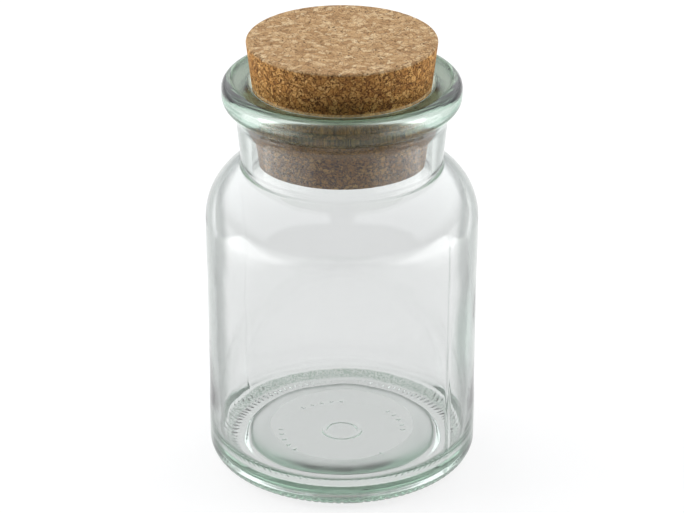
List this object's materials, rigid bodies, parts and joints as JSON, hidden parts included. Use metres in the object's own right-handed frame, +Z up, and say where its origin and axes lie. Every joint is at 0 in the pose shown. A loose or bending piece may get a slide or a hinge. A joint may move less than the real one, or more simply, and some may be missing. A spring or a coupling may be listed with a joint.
{
  "type": "glass jar with cork stopper",
  "caption": "Small cylindrical clear glass jar with a rounded shoulder, short neck and wide lip, closed by a tapered cork stopper that lifts out.",
  "frame": {"origin": "centre of the standing ring, on the plane that the jar stands on", "axes": "+Z up along the jar's axis, from the base to the cork; X and Y lie in the table plane"},
  "size_m": [0.06, 0.06, 0.0989],
  "materials": {
    "glass": "gloss",
    "cork": "matte"
  },
  "bodies": {
    "jar": {"glass_jar": "glass"},
    "stopper": {"cork_stopper": "cork"}
  },
  "joints": [
    {"name": "cork_lift", "type": "slide", "parent": "jar", "child": "stopper", "axis": [0, 0, 1], "range_m": [0, 0.03]}
  ]
}
